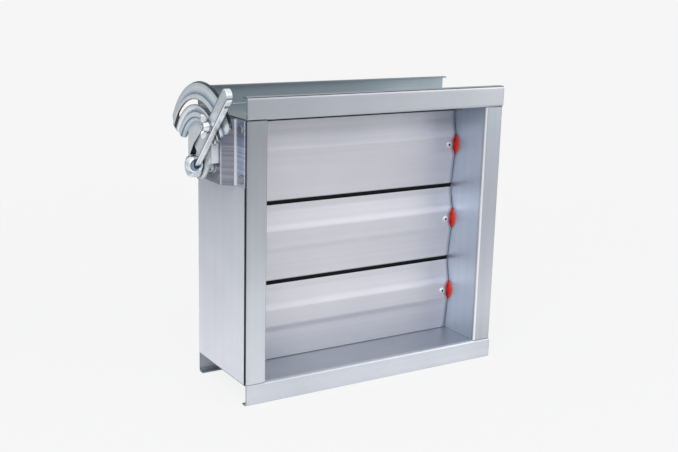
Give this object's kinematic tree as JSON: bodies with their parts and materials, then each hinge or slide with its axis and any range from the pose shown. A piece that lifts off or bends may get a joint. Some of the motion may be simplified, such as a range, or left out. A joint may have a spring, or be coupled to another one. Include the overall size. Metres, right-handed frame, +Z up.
{
  "type": "volume control damper",
  "caption": "Flanged galvanised duct frame with parallel double-skin blades on round shafts, turned together by a tie bar and a hand lever that locks on a slotted quadrant.",
  "frame": {"origin": "centre of the airway, half way through the frame's depth, on the middle blade's axis", "axes": "+X across the airway to the right as seen from the front, with the hand lever at -X; +Y along the air flow, out of the rear flange; +Z up"},
  "size_m": [0.3995, 0.1681, 0.3636],
  "materials": {
    "galvanised_sheet": "hot-dip galvanised, satin with faint rolling lines",
    "bracket_sheet": "galvanised, darker, fine rolling lines",
    "blade_sheet": "galvanised, smooth satin",
    "seal_rubber": "matt black extruded rubber",
    "bush_plastic": "moulded, orange red",
    "shaft_steel": "bright drawn steel",
    "zinc_plate": "bright zinc plate",
    "linkage_steel": "zinc-plated flat steel",
    "fastener_zinc": "zinc plated"
  },
  "bodies": {
    "frame": {"frame_top_channel": "galvanised_sheet", "frame_bottom_channel": "galvanised_sheet", "frame_left_channel": "galvanised_sheet", "frame_right_channel": "galvanised_sheet", "corner_rivets": "fastener_zinc", "top_blade_stop": "galvanised_sheet", "bottom_blade_stop": "galvanised_sheet", "bushes_left": "bush_plastic", "bushes_right": "bush_plastic", "side_cover": "galvanised_sheet", "lever_bracket": "bracket_sheet", "bracket_screws": "fastener_zinc", "outer_bearing": "zinc_plate", "bearing_bolts": "fastener_zinc", "bearing_nuts": "fastener_zinc", "quadrant": "zinc_plate"},
    "top_blade": {"blade_top_front_skin": "blade_sheet", "blade_top_rear_skin": "blade_sheet", "blade_top_seal": "seal_rubber", "blade_top_rivets": "fastener_zinc", "drive_shaft": "shaft_steel", "crank_top": "linkage_steel", "crank_screw_top": "fastener_zinc", "crank_pin_top": "fastener_zinc", "crank_clip_top": "fastener_zinc", "lever": "zinc_plate", "lever_hub": "zinc_plate", "hub_set_screw": "fastener_zinc", "lock_bolt": "fastener_zinc", "lock_washer": "fastener_zinc"},
    "middle_blade": {"blade_middle_front_skin": "blade_sheet", "blade_middle_rear_skin": "blade_sheet", "blade_middle_seal": "seal_rubber", "blade_middle_rivets": "fastener_zinc", "axle_middle": "shaft_steel", "crank_middle": "linkage_steel", "crank_screw_middle": "fastener_zinc", "crank_pin_middle": "fastener_zinc", "crank_clip_middle": "fastener_zinc"},
    "bottom_blade": {"blade_bottom_front_skin": "blade_sheet", "blade_bottom_rear_skin": "blade_sheet", "blade_bottom_seal": "seal_rubber", "blade_bottom_rivets": "fastener_zinc", "axle_bottom": "shaft_steel", "crank_bottom": "linkage_steel", "crank_screw_bottom": "fastener_zinc", "crank_pin_bottom": "fastener_zinc", "crank_clip_bottom": "fastener_zinc"},
    "tie_bar": {"tie_bar": "linkage_steel"},
    "wing_nut": {"wing_nut": "fastener_zinc"}
  },
  "joints": [
    {"name": "drive_turn", "type": "hinge", "parent": "frame", "child": "top_blade", "pos_m": [0, 0, 0.0965], "axis": [-1, 0, 0], "range_deg": [0, 90]},
    {"name": "middle_turn", "type": "hinge", "parent": "frame", "child": "middle_blade", "pos_m": [0, 0, 0], "axis": [-1, 0, 0], "range_deg": [0, 90]},
    {"name": "bottom_turn", "type": "hinge", "parent": "frame", "child": "bottom_blade", "pos_m": [0, 0, -0.0965], "axis": [-1, 0, 0], "range_deg": [0, 90]},
    {"name": "tie_bar_turn", "type": "hinge", "parent": "top_blade", "child": "tie_bar", "pos_m": [-0.162, 0.01768, 0.11418], "axis": [-1, 0, 0], "range_deg": [-90, 0]},
    {"name": "wing_nut_turn", "type": "hinge", "parent": "top_blade", "child": "wing_nut", "pos_m": [-0.215, -0.04791, 0.14475], "axis": [-1, 0, 0], "range_deg": [0, 360]}
  ],
  "couplings": [
    {"joint": "middle_turn", "follows": "drive_turn", "ratio": 1},
    {"joint": "bottom_turn", "follows": "drive_turn", "ratio": 1},
    {"joint": "tie_bar_turn", "follows": "drive_turn", "ratio": -1}
  ]
}
